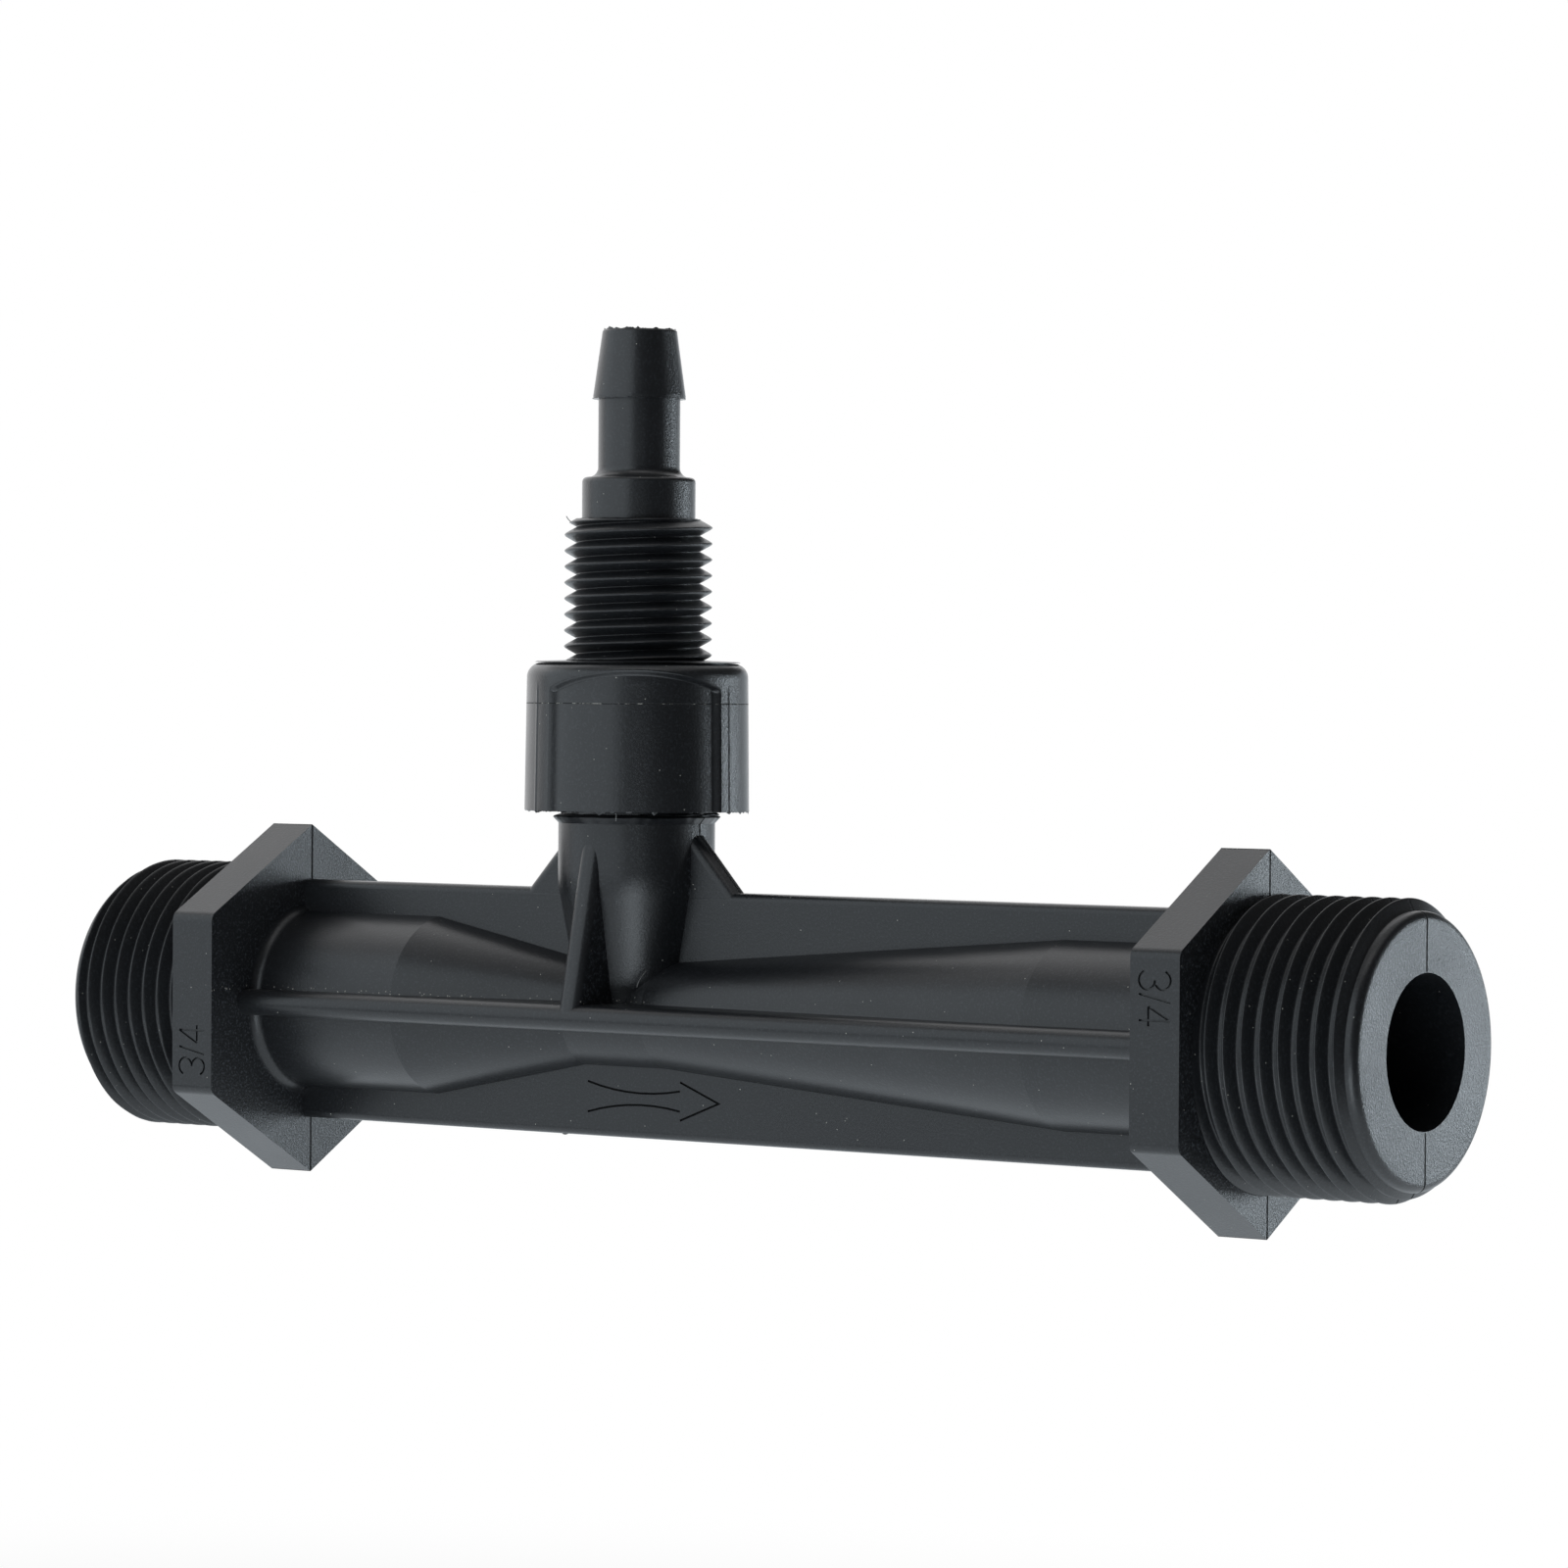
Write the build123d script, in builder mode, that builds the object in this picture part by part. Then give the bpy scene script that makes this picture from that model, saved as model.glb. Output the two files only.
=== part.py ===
from build123d import *
import math
import os

os.makedirs("parts", exist_ok=True)

# Layout in millimetres
# Water flows along +X. The origin is the centre of the inlet end face, and the suction port
# points up along +Z. Both pipe ends are the same moulded 3/4 pipe thread.
end_length = 15.7            # from a hex flange's outer face to the end face beside it
flange_thickness = 5.0
middle_length = 104.6        # between the inner faces of the two flanges
suction_from_flange = 40.1   # suction axis, from the inlet flange's inner face

inlet_flange_x = end_length
inlet_inner_x = inlet_flange_x + flange_thickness
outlet_inner_x = inlet_inner_x + middle_length
outlet_flange_x = outlet_inner_x + flange_thickness
overall_length = outlet_flange_x + end_length
suction_x = inlet_inner_x + suction_from_flange

# Pipe thread, drawn as rings with its true section and pitch
pipe_pitch = 1.814
pipe_crest_radius = 13.22
pipe_root_radius = 12.06
pipe_crest_flat = 0.26
pipe_flank_angle = 27.5
pipe_first_crest = 1.2       # from the flange's face to the first crest
pipe_nose_length = 1.5       # kept free of crests at the end face
pipe_crests = int((end_length - pipe_first_crest - pipe_nose_length) / pipe_pitch) + 1
lead_in_length = 0.65        # cone after the last crest
nose_radius = 12.15
nose_rounding = 0.5

# Hex flanges, with a corner at the top and at the bottom
hex_corner_radius = 17.1
hex_corner_rounding = 1.0
flange_fillet = 0.5

# Venturi tube, outside and inside
tube_radius = 8.65
throat_outer_radius = 5.1
inlet_straight = 17.1        # outside straight after the inlet flange
converging_length = 18.0
throat_length = 9.4
diverging_length = 44.6
passage_radius = 6.85
passage_straight = 36.0      # straight bore, from the inlet end face
nozzle_radius = 2.6
nozzle_start = 6.0           # nozzle bore starts this far before the suction axis
mixing_radius = 3.0
mixing_start = 1.2           # step to the mixing bore, this far before the suction axis
mixing_end = 4.0             # diffuser starts this far after the suction axis
outlet_straight = 34.0       # straight bore, up to the outlet end face

# Ribs that stiffen the tube
fin_half_height = 11.7
fin_thickness = 2.4
fin_edge_rounding = 0.7
rib_half_width = 11.0
rib_thickness = 2.5

# Suction boss
boss_radius = 7.4
boss_taper_top = 12.3        # below this height the boss narrows towards the throat
boss_taper_angle = 10.5
boss_thread_start = 18.1
boss_top = 29.0
boss_pitch = 1.5
boss_crest_radius = 7.9
boss_root_radius = 7.15
boss_crest_flat = 0.25
boss_flank_angle = 30.0
boss_crests = int((boss_top - boss_thread_start) / boss_pitch)
gusset_reach = 4.8           # side gussets, outward from the boss along the fin
gusset_height = 5.3          # and up the boss from the fin
gusset_rounding = 0.9        # of the side gussets' slopes
gusset_thickness = 2.4
front_gusset_top = 16.1
front_gusset_foot = 0.3      # foot of a front gusset, inward from the rib's outer edge
front_gusset_rounding = 1.0

# Check valve chamber inside the boss
chamber_radius = 4.7
chamber_floor = 12.0
suction_bore_radius = 2.2

# Seal ring between the boss's rim and the cap's ceiling
seal_thickness = 1.4
seal_gap = 0.05              # above and below the ring
seal_rim = 0.55              # ring's outer edge, inward from the boss thread's root

# Suction cap, one moulding with its threaded nipple and hose barb
cap_gap = 0.3                # cap bore to the boss thread's crests, and spigot to seal ring
cap_ceiling = 2.6            # thickness of the cap's top wall
cap_height = 13.9
cap_top = boss_top + seal_thickness + seal_gap * 2 + cap_ceiling
cap_bottom = cap_top - cap_height
cap_radius_top = 10.42
cap_radius_bottom = 10.6
cap_rounding = 1.2
panel_depth = 0.62           # grip panels, sunk between the two lobes
panel_sweep = 121.5
panel_direction = -56.5      # middle of the front panel, seen from above, from +X
panel_top_drop = 3.2         # from the cap's top to where the panels start to run out
panel_run_out = 2.1
panel_corner = 0.9
lobe_edge_rounding = 0.35
panel_top = cap_top - panel_top_drop
cap_bore_radius = boss_crest_radius + cap_gap

# Nipple thread M14 x 1.5 with a sharp V, and the barb on top
nipple_pitch = 1.5
nipple_crest_radius = 6.94
nipple_root_radius = 5.64
nipple_crest_flat = 0.14
nipple_flank_angle = 27.6
nipple_first_crest = 0.65    # above the cap's top
nipple_run_out = 0.7         # kept free of crests under the shoulder
shoulder_radius = 5.35
shoulder_bottom = 13.5       # all heights here are above the cap's top
nipple_crests = int((shoulder_bottom - nipple_first_crest - nipple_run_out) / nipple_pitch) + 1
shoulder_top = 17.5
shoulder_rounding = 0.45
neck_radius = 3.86
neck_fillet = 0.95
lip_bottom = 24.9
lip_radius = 4.36
lip_land = 0.3
tip_radius = 3.5
tip_rounding = 0.25
barb_top = 31.4
nipple_bore_radius = 2.4

# Check valve
ball_radius = 4.0
seat_gap = 0.03              # rubber ball to its seat, drawn just clear
seat_mouth_radius = 3.5
spigot_radius = 4.3
spigot_length = 2.9          # below the cap's ceiling
wire_radius = 0.3
spring_radius = 3.0          # to the middle of the wire
spring_turns = 6
seal_inner_radius = spigot_radius + cap_gap
seal_outer_radius = boss_root_radius - seal_rim

# Raised and sunk marks
mark_depth = 0.22
mark_line = 0.2
arrow_height = 7.95          # flow mark, below the tube's axis
arrow_middle_half_gap = 0.55
arrow_inlet_half_gap = 1.45
arrow_outlet_half_gap = 0.95
arrow_tail = 4.7             # flow lines start this far before the suction axis
arrow_neck = 6.2             # and end this far after it
arrow_tip = 10.7
arrow_wing = 1.8
numeral_height = 3.2
numeral_width = 1.7
numeral_space = 0.4
numerals_from_axis = 6.9     # near edge of the first numeral, from the tube's axis


def ring_thread(first, pitch, count, crest, root, crest_flat, slope):
    """Corner points, along the axis and outward, of the thread rings on one stretch."""
    flank = (crest - root) * math.tan(math.radians(slope))
    points = []
    for turn in range(count):
        middle = first + turn * pitch
        points.append((middle - crest_flat / 2 - flank, root))
        points.append((middle - crest_flat / 2, crest))
        points.append((middle + crest_flat / 2, crest))
        points.append((middle + crest_flat / 2 + flank, root))
    return points


def pipe_end(face, outward):
    """Outline of one threaded end, from the flange's face out to the end face."""
    crests = ring_thread(
        pipe_first_crest, pipe_pitch, pipe_crests, pipe_crest_radius,
        pipe_root_radius, pipe_crest_flat, pipe_flank_angle,
    )[:-1]
    last = crests[-1][0]
    crests.append((last + lead_in_length, nose_radius))
    crests.append((end_length, nose_radius))
    return [(face + outward * along, radius) for along, radius in crests]


def numerals():
    """3/4 size numerals along X, to be sunk in a flange's flat."""
    half = numeral_height / 2
    bowl = numeral_height / 4
    three_x = -numerals_from_axis + bowl
    slash_x = three_x + bowl + numeral_space
    slash_run = numeral_width * 0.4
    four_x = slash_x + slash_run + numeral_space
    stem_x = four_x + numeral_width * 0.7
    bar_y = -half * 0.4
    with BuildSketch(mode=Mode.PRIVATE) as figures:
        for middle_y, first_angle in ((half - bowl, 160), (bowl - half, 90)):
            with BuildLine():
                CenterArc((three_x, middle_y), bowl, first_angle, -250)
            trace(line_width=mark_line)
        for start, end in (
            ((slash_x, -half), (slash_x + slash_run, half)),
            ((stem_x, -half), (stem_x, half)),
            ((stem_x, half), (four_x, bar_y)),
            ((four_x, bar_y), (four_x + numeral_width, bar_y)),
        ):
            with BuildLine():
                Line(start, end)
            trace(line_width=mark_line)
    return figures.sketch


# Side gussets: one plate across the boss, in line with the vertical fin, its slopes rounded.
side_foot = boss_radius + gusset_reach
side_slope = gusset_reach / gusset_height
with BuildPart() as side_gussets:
    with BuildSketch(Plane.XZ):
        with Locations((suction_x, 0)):
            Polygon(
                (-side_foot - side_slope * 0.5, fin_half_height - 0.5),
                (side_foot + side_slope * 0.5, fin_half_height - 0.5),
                (boss_radius - side_slope * 0.5, fin_half_height + gusset_height + 0.5),
                (-boss_radius + side_slope * 0.5, fin_half_height + gusset_height + 0.5),
                align=None,
            )
    extrude(amount=gusset_thickness / 2, both=True)
    slopes = side_gussets.faces().filter_by(
        lambda face: abs(face.normal_at().X) > 0.2 and face.normal_at().Z > 0.2
    )
    fillet(
        [edge for face in slopes for edge in face.edges() if abs(edge.center().Y) > 0.1],
        radius=gusset_rounding,
    )

# Front and back gussets: one plate across the boss, down to the flat rib's outer edges.
front_foot = rib_half_width - front_gusset_foot
front_slope = (front_foot - boss_radius) / (front_gusset_top - rib_thickness / 2)
with BuildPart() as front_gussets:
    with BuildSketch(Plane.YZ.offset(suction_x)):
        Polygon(
            (-front_foot - front_slope * 0.8, rib_thickness / 2 - 0.8),
            (front_foot + front_slope * 0.8, rib_thickness / 2 - 0.8),
            (boss_radius - front_slope * 0.8, front_gusset_top + 0.8),
            (-boss_radius + front_slope * 0.8, front_gusset_top + 0.8),
            align=None,
        )
    extrude(amount=gusset_thickness / 2, both=True)
    slopes = front_gussets.faces().filter_by(
        lambda face: abs(face.normal_at().Y) > 0.5
    )
    fillet(
        [edge for face in slopes for edge in face.edges()
         if abs(edge.center().X - suction_x) > 0.1],
        radius=front_gusset_rounding,
    )

# Injector body: one black moulding. The tube is turned about X, with the flanges, ribs,
# gussets and boss on it, and the passages cut out of it last.
flange_core = hex_corner_radius * 0.8
throat_start_x = inlet_inner_x + inlet_straight + converging_length
with BuildPart() as injector_body:
    with BuildSketch(Plane.XY) as tube_outline:
        with BuildLine():
            Polyline(
                (0, 0),
                *reversed(pipe_end(inlet_flange_x, -1)),
                (inlet_flange_x, pipe_root_radius),
                (inlet_flange_x, flange_core),
                (inlet_inner_x, flange_core),
                (inlet_inner_x, tube_radius),
                (inlet_inner_x + inlet_straight, tube_radius),
                (throat_start_x, throat_outer_radius),
                (throat_start_x + throat_length, throat_outer_radius),
                (throat_start_x + throat_length + diverging_length, tube_radius),
                (outlet_inner_x, tube_radius),
                (outlet_inner_x, flange_core),
                (outlet_flange_x, flange_core),
                (outlet_flange_x, pipe_root_radius),
                *pipe_end(outlet_flange_x, 1),
                (overall_length, 0),
                close=True,
            )
        make_face()
        ends = tube_outline.vertices().filter_by_position(Axis.Y, nose_radius - 0.01, nose_radius + 0.01)
        fillet(
            [ends.sort_by(Axis.X)[0], ends.sort_by(Axis.X)[-1]],
            radius=nose_rounding,
        )
        corners = tube_outline.vertices().filter_by_position(Axis.Y, tube_radius - 0.01, tube_radius + 0.01)
        fillet(
            [corners.sort_by(Axis.X)[0], corners.sort_by(Axis.X)[-1]],
            radius=flange_fillet,
        )
    revolve(axis=Axis.X)

    for flange_x in (inlet_flange_x, outlet_inner_x):
        with BuildSketch(Plane.YZ.offset(flange_x)) as hexagon:
            RegularPolygon(radius=hex_corner_radius, side_count=6, rotation=90)
            fillet(hexagon.vertices().sort_by(Axis.Y)[1:-1], radius=hex_corner_rounding)
        extrude(amount=flange_thickness)

    with BuildSketch(Plane.YZ.offset(inlet_inner_x)):
        RectangleRounded(fin_thickness, fin_half_height * 2, fin_edge_rounding)
        SlotOverall(rib_half_width * 2, rib_thickness)
    extrude(amount=middle_length)

    add(side_gussets.part)
    add(front_gussets.part)

    with BuildSketch(Plane.XZ):
        with Locations((suction_x, 0)):
            with BuildSketch(mode=Mode.PRIVATE) as boss_outline:
                with BuildLine():
                    Polyline(
                        (0, 0),
                        (boss_radius - boss_taper_top * math.tan(math.radians(boss_taper_angle)), 0),
                        (boss_radius, boss_taper_top),
                        (boss_radius, boss_thread_start),
                        *[
                            (radius, boss_thread_start + along)
                            for along, radius in ring_thread(
                                boss_pitch / 2, boss_pitch, boss_crests, boss_crest_radius,
                                boss_root_radius, boss_crest_flat, boss_flank_angle,
                            )
                        ],
                        (boss_root_radius, boss_top),
                        (0, boss_top),
                        close=True,
                    )
                make_face()
            add(boss_outline.sketch)
    revolve(axis=Axis((suction_x, 0, 0), (0, 0, 1)))

    with BuildSketch(Plane.XY):
        with BuildLine():
            Polyline(
                (0, 0),
                (0, passage_radius),
                (passage_straight, passage_radius),
                (suction_x - nozzle_start, nozzle_radius),
                (suction_x - mixing_start, nozzle_radius),
                (suction_x - mixing_start, mixing_radius),
                (suction_x + mixing_end, mixing_radius),
                (overall_length - outlet_straight, passage_radius),
                (overall_length, passage_radius),
                (overall_length, 0),
                close=True,
            )
        make_face()
    revolve(axis=Axis.X, mode=Mode.SUBTRACT)

    with BuildSketch(Plane.XY):
        with Locations((suction_x, 0)):
            Circle(suction_bore_radius)
    extrude(amount=boss_top, mode=Mode.SUBTRACT)
    with BuildSketch(Plane.XY.offset(chamber_floor)):
        with Locations((suction_x, 0)):
            Circle(chamber_radius)
    extrude(amount=boss_top - chamber_floor, mode=Mode.SUBTRACT)

    # Flow mark on the lower fin: two lines that close towards the throat, and an arrowhead.
    with BuildSketch(Plane.XZ.offset(fin_thickness / 2)):
        with Locations((suction_x, -arrow_height)):
            with BuildSketch(mode=Mode.PRIVATE) as flow_mark:
                for side in (1, -1):
                    with BuildLine():
                        ThreePointArc(
                            (-arrow_tail, side * arrow_inlet_half_gap),
                            (arrow_neck * 0.3, side * arrow_middle_half_gap),
                            (arrow_neck, side * arrow_outlet_half_gap),
                        )
                with BuildLine():
                    Polyline((arrow_neck, arrow_wing), (arrow_tip, 0), (arrow_neck, -arrow_wing))
                trace(line_width=mark_line)
            add(flow_mark.sketch)
    extrude(amount=-mark_depth, mode=Mode.SUBTRACT)

    # Size numerals on the front flat of each flange.
    flat_distance = hex_corner_radius * math.cos(math.pi / 6)
    for flat_x, turn in ((inlet_flange_x, 90), (outlet_inner_x, -90)):
        flat = Plane(
            origin=(flat_x + flange_thickness / 2, -flat_distance, 0),
            x_dir=(1, 0, 0),
            z_dir=(0, -1, 0),
        )
        with BuildSketch(flat):
            with Locations(Location((0, 0, 0), (0, 0, turn))):
                add(numerals())
        extrude(amount=-mark_depth, mode=Mode.SUBTRACT)

injector_body.part.label = "injector_body"
export_step(injector_body.part, "parts/injector_body.step")

# Suction cap: turned outline with the nipple thread, shoulder, neck and barb. The two grip
# panels are cut between the lobes, and the bore ends in the check valve's seat.
suction_axis = Axis((suction_x, 0, 0), (0, 0, 1))
ceiling_z = cap_top - cap_ceiling
seat_bottom = ceiling_z - spigot_length
seat_depth = seat_mouth_radius - nipple_bore_radius
barb_z = cap_top + barb_top
panel_radius = cap_radius_top - panel_depth
with BuildPart() as grip_panel:
    with BuildSketch(Plane.XZ):
        Polygon(
            (panel_radius, cap_bottom - 1),
            (panel_radius, panel_top),
            (cap_radius_bottom + 0.2, panel_top + panel_run_out),
            (cap_radius_bottom + 2, panel_top + panel_run_out),
            (cap_radius_bottom + 2, cap_bottom - 1),
            align=None,
        )
    revolve(axis=Axis.Z, revolution_arc=panel_sweep)
    ends = grip_panel.faces().filter_by(GeomType.PLANE).filter_by(
        lambda face: abs(face.normal_at().Z) < 0.1
    )
    fillet(
        [edge for face in ends for edge in face.edges()
         if edge.center().Z > (panel_top + cap_bottom) / 2 + 2
         and panel_top < edge.center().Z < panel_top + panel_run_out],
        radius=panel_corner,
    )

with BuildPart() as suction_cap:
    with BuildSketch(Plane.XZ):
        with Locations((suction_x, 0)):
            with BuildSketch(mode=Mode.PRIVATE) as cap_outline:
                with BuildLine():
                    Polyline(
                        (nipple_bore_radius, seat_bottom + seat_depth),
                        (seat_mouth_radius, seat_bottom),
                        (spigot_radius, seat_bottom),
                        (spigot_radius, ceiling_z),
                        (cap_bore_radius, ceiling_z),
                        (cap_bore_radius, cap_bottom),
                        (cap_radius_bottom, cap_bottom),
                        (cap_radius_top, cap_top),
                        *[
                            (radius, cap_top + along)
                            for along, radius in ring_thread(
                                nipple_first_crest, nipple_pitch, nipple_crests,
                                nipple_crest_radius, nipple_root_radius,
                                nipple_crest_flat, nipple_flank_angle,
                            )[1:]
                        ],
                        (nipple_root_radius, cap_top + shoulder_bottom),
                        (shoulder_radius, cap_top + shoulder_bottom),
                        (shoulder_radius, cap_top + shoulder_top),
                        (neck_radius, cap_top + shoulder_top),
                        (neck_radius, cap_top + lip_bottom),
                        (lip_radius, cap_top + lip_bottom),
                        (lip_radius, cap_top + lip_bottom + lip_land),
                        (tip_radius, barb_z),
                        (nipple_bore_radius, barb_z),
                        close=True,
                    )
                make_face()
                for corner, radius in (
                    ((cap_radius_top, cap_top), cap_rounding),
                    ((shoulder_radius, cap_top + shoulder_top), shoulder_rounding),
                    ((neck_radius, cap_top + shoulder_top), neck_fillet),
                    ((tip_radius, barb_z), tip_rounding),
                ):
                    fillet(cap_outline.vertices().sort_by_distance((*corner, 0))[0], radius=radius)
            add(cap_outline.sketch)
    revolve(axis=suction_axis)
    with Locations((suction_x, 0)):
        with PolarLocations(0, 2, start_angle=panel_direction - panel_sweep / 2):
            add(grip_panel.part, mode=Mode.SUBTRACT)
    lobe_edges = suction_cap.edges().filter_by(
        lambda edge: edge.length > 5
        and abs(edge.tangent_at(0.5).Z) > 0.9
        and abs(math.hypot(edge.center().X - suction_x, edge.center().Y) - cap_radius_top) < 0.4
    )
    fillet(lobe_edges, radius=lobe_edge_rounding)

suction_cap.part.label = "suction_cap"
export_step(suction_cap.part, "parts/suction_cap.step")

# Check ball: rubber, held up on the seat by the spring. A 45 degree seat meets it at a
# circle whose radius is the ball's times the cosine of 45 degrees.
seat_share = math.cos(math.radians(45))
contact_z = seat_bottom + seat_mouth_radius - ball_radius * seat_share
ball_z = contact_z - ball_radius * seat_share - seat_gap
with BuildPart() as check_ball:
    with Locations((suction_x, 0, ball_z)):
        Sphere(ball_radius)

check_ball.part.label = "check_ball"
export_step(check_ball.part, "parts/check_ball.step")

# Valve spring: stainless wire between the chamber's floor and the ball, with a closed
# coil at each end.
spring_bottom = chamber_floor + wire_radius
ball_reach = ball_radius + wire_radius + seat_gap
spring_top = ball_z - math.sqrt(ball_reach**2 - spring_radius**2)
spring_height = spring_top - spring_bottom
with BuildPart() as valve_spring:
    with BuildLine(Plane((suction_x, 0, spring_bottom))) as coil_path:
        Helix(pitch=spring_height / spring_turns, height=spring_height, radius=spring_radius)
    with BuildSketch(Plane(coil_path.line @ 0, z_dir=coil_path.line % 0)):
        Circle(wire_radius)
    sweep(is_frenet=True)
    for end_z in (spring_bottom, spring_top):
        with Locations((suction_x, 0, end_z)):
            Torus(spring_radius, wire_radius)

valve_spring.part.label = "valve_spring"
export_step(valve_spring.part, "parts/valve_spring.step")

# Seal ring: flat rubber washer between the boss's rim and the cap's ceiling.
with BuildPart() as seal_ring:
    with BuildSketch(Plane.XY.offset(boss_top + seal_gap)):
        with Locations((suction_x, 0)):
            Circle(seal_outer_radius)
            Circle(seal_inner_radius, mode=Mode.SUBTRACT)
    extrude(amount=seal_thickness)

seal_ring.part.label = "seal_ring"
export_step(seal_ring.part, "parts/seal_ring.step")
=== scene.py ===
import math

import bmesh
import bpy
from mathutils import Matrix, Vector, noise


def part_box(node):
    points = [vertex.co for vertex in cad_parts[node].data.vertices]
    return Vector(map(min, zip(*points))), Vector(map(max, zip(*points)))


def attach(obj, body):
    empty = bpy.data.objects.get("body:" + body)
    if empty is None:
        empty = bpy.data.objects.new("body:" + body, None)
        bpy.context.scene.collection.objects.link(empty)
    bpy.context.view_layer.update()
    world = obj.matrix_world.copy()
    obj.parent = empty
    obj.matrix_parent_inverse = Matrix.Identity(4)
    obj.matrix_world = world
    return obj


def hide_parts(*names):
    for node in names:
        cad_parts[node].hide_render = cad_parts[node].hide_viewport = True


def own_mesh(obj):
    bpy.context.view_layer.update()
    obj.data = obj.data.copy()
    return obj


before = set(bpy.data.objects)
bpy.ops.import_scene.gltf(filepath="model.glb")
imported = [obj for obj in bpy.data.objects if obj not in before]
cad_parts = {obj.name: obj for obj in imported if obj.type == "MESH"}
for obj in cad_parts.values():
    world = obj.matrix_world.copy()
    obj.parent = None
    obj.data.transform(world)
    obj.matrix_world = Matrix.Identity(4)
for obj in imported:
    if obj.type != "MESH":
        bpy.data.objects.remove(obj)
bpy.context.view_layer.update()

mm = 0.001

# The view. A long lens looks from the front right, almost level with the suction cap, so the
# outlet's end face shows and both rows of threads run back into the picture.
suction_x = 60.8 * mm          # the suction port's axis
view_target = Vector((suction_x + 17.10 * mm, 0.0, 21.97 * mm))
view_azimuth = math.radians(35.754)
view_elevation = math.radians(0.992)
view_roll = math.radians(0.394)
view_distance = 534.0 * mm
lens_pixels = 5880.5
photo_side = 1600

view_forward = Vector((
    -math.sin(view_azimuth) * math.cos(view_elevation),
    math.cos(view_azimuth) * math.cos(view_elevation),
    -math.sin(view_elevation),
))
view_right = Vector((math.cos(view_azimuth), math.sin(view_azimuth), 0.0))
view_up = view_right.cross(view_forward)
rolled_right = view_right * math.cos(view_roll) + view_up * math.sin(view_roll)
rolled_up = view_up * math.cos(view_roll) - view_right * math.sin(view_roll)
camera_data = bpy.data.cameras.new("camera")
camera_data.sensor_width = 36.0
camera_data.lens = lens_pixels / photo_side * camera_data.sensor_width
camera_data.clip_start = 0.01
camera = bpy.data.objects.new("camera", camera_data)
bpy.context.scene.collection.objects.link(camera)
camera.matrix_world = Matrix.Translation(view_target - view_forward * view_distance) @ Matrix((
    rolled_right, rolled_up, -view_forward,
)).transposed().to_4x4()
bpy.context.scene.camera = camera
bpy.context.scene.view_settings.view_transform = "Standard"


# The studio. Soft boxes stand all round the part: a wide one on the left, a narrow bright one low
# on the right, three at the back and two overhead, over a table that is lit in places. The
# camera's own side stays almost dark, so that the black plastic keeps its depth.
def add_node(tree, kind, settings=None, inputs=None):
    """Adds a node, sets its properties, and fills its inputs with values or sockets."""
    node = tree.nodes.new(kind)
    for key, value in (settings or {}).items():
        setattr(node, key, value)
    for key, value in (inputs or {}).items():
        if isinstance(value, bpy.types.NodeSocket):
            tree.links.new(value, node.inputs[key])
        else:
            node.inputs[key].default_value = value
    return node


def calc(tree, operation, first, second=0.0, third=0.0):
    """The result of one Math node on values or sockets."""
    settings = {"operation": operation}
    return add_node(tree, "ShaderNodeMath", settings, {0: first, 1: second, 2: third}).outputs[0]


cool_white = (0.85, 0.935, 1.0)
blue_white = (0.82, 0.925, 1.0)
plain_white = (0.98, 0.985, 1.0)
toward_camera = Vector((-view_forward.x, -view_forward.y, 0.0)).normalized()
floor_height = -0.10
lamp_clearance = 0.007         # the table's lamps float this far above it


def lamp(name, place, direction, size, radiance, tint):
    """An area lamp of a given radiance, unseen by the camera. It shines against direction."""
    data = bpy.data.lights.new(name, "AREA")
    data.shape = "RECTANGLE"
    data.size, data.size_y = size
    data.energy = radiance * math.pi * size[0] * size[1]
    data.color = tint
    box = bpy.data.objects.new(name, data)
    bpy.context.scene.collection.objects.link(box)
    box.location = place
    box.rotation_euler = direction.to_track_quat("Z", "Y").to_euler()
    box.visible_camera = False
    return box


def soft_box(name, bearing, rise, distance, size, radiance, tint=cool_white):
    """A soft box at a bearing from the camera's side, to the right, and a rise above level."""
    bearing, rise = math.radians(bearing), math.radians(rise)
    level = toward_camera * math.cos(bearing) + view_right * math.sin(bearing)
    direction = level * math.cos(rise) + Vector((0, 0, math.sin(rise)))
    return lamp(name, view_target + direction * distance, direction, size, radiance, tint)


def table_glow(name, right, nearer, size, radiance, tint=cool_white):
    """A lit stretch of table, its middle to the right of the part and nearer to the camera."""
    place = view_target + view_right * right + toward_camera * nearer
    place.z = floor_height + lamp_clearance
    glow = lamp(name, place, Vector((0, 0, -1)), size, radiance, tint)
    glow.rotation_euler = (math.pi, 0, -view_azimuth)
    return glow


soft_box("left box", -65, 14, 0.62, (1.31, 0.84), 1.26)
soft_box("right box", 112, -19, 0.62, (0.20, 0.56), 9.0, blue_white)
soft_box("right edge box", 88, -4, 0.62, (0.14, 0.50), 1.1)
soft_box("front fill", 0, 4, 0.80, (0.36, 0.40), 0.08)
soft_box("back left box", -157, 6, 0.75, (1.30, 0.80), 1.2, plain_white)
soft_box("back left high box", -160, 48, 0.75, (1.20, 0.50), 0.80, plain_white)
soft_box("back right box", 148, 0, 0.75, (0.45, 0.35), 0.8)
soft_box("ceiling box", 180, 80, 0.60, (0.90, 0.80), 0.46, plain_white)
soft_box("front ceiling box", 0, 68, 0.60, (0.40, 0.24), 0.8, plain_white)
table_glow("table behind", -0.10, -0.46, (1.40, 0.70), 0.95)
table_glow("table left", -0.40, 0.12, (0.60, 0.40), 0.10)
table_glow("table front", -0.02, 0.34, (0.30, 0.16), 3.9)

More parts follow.
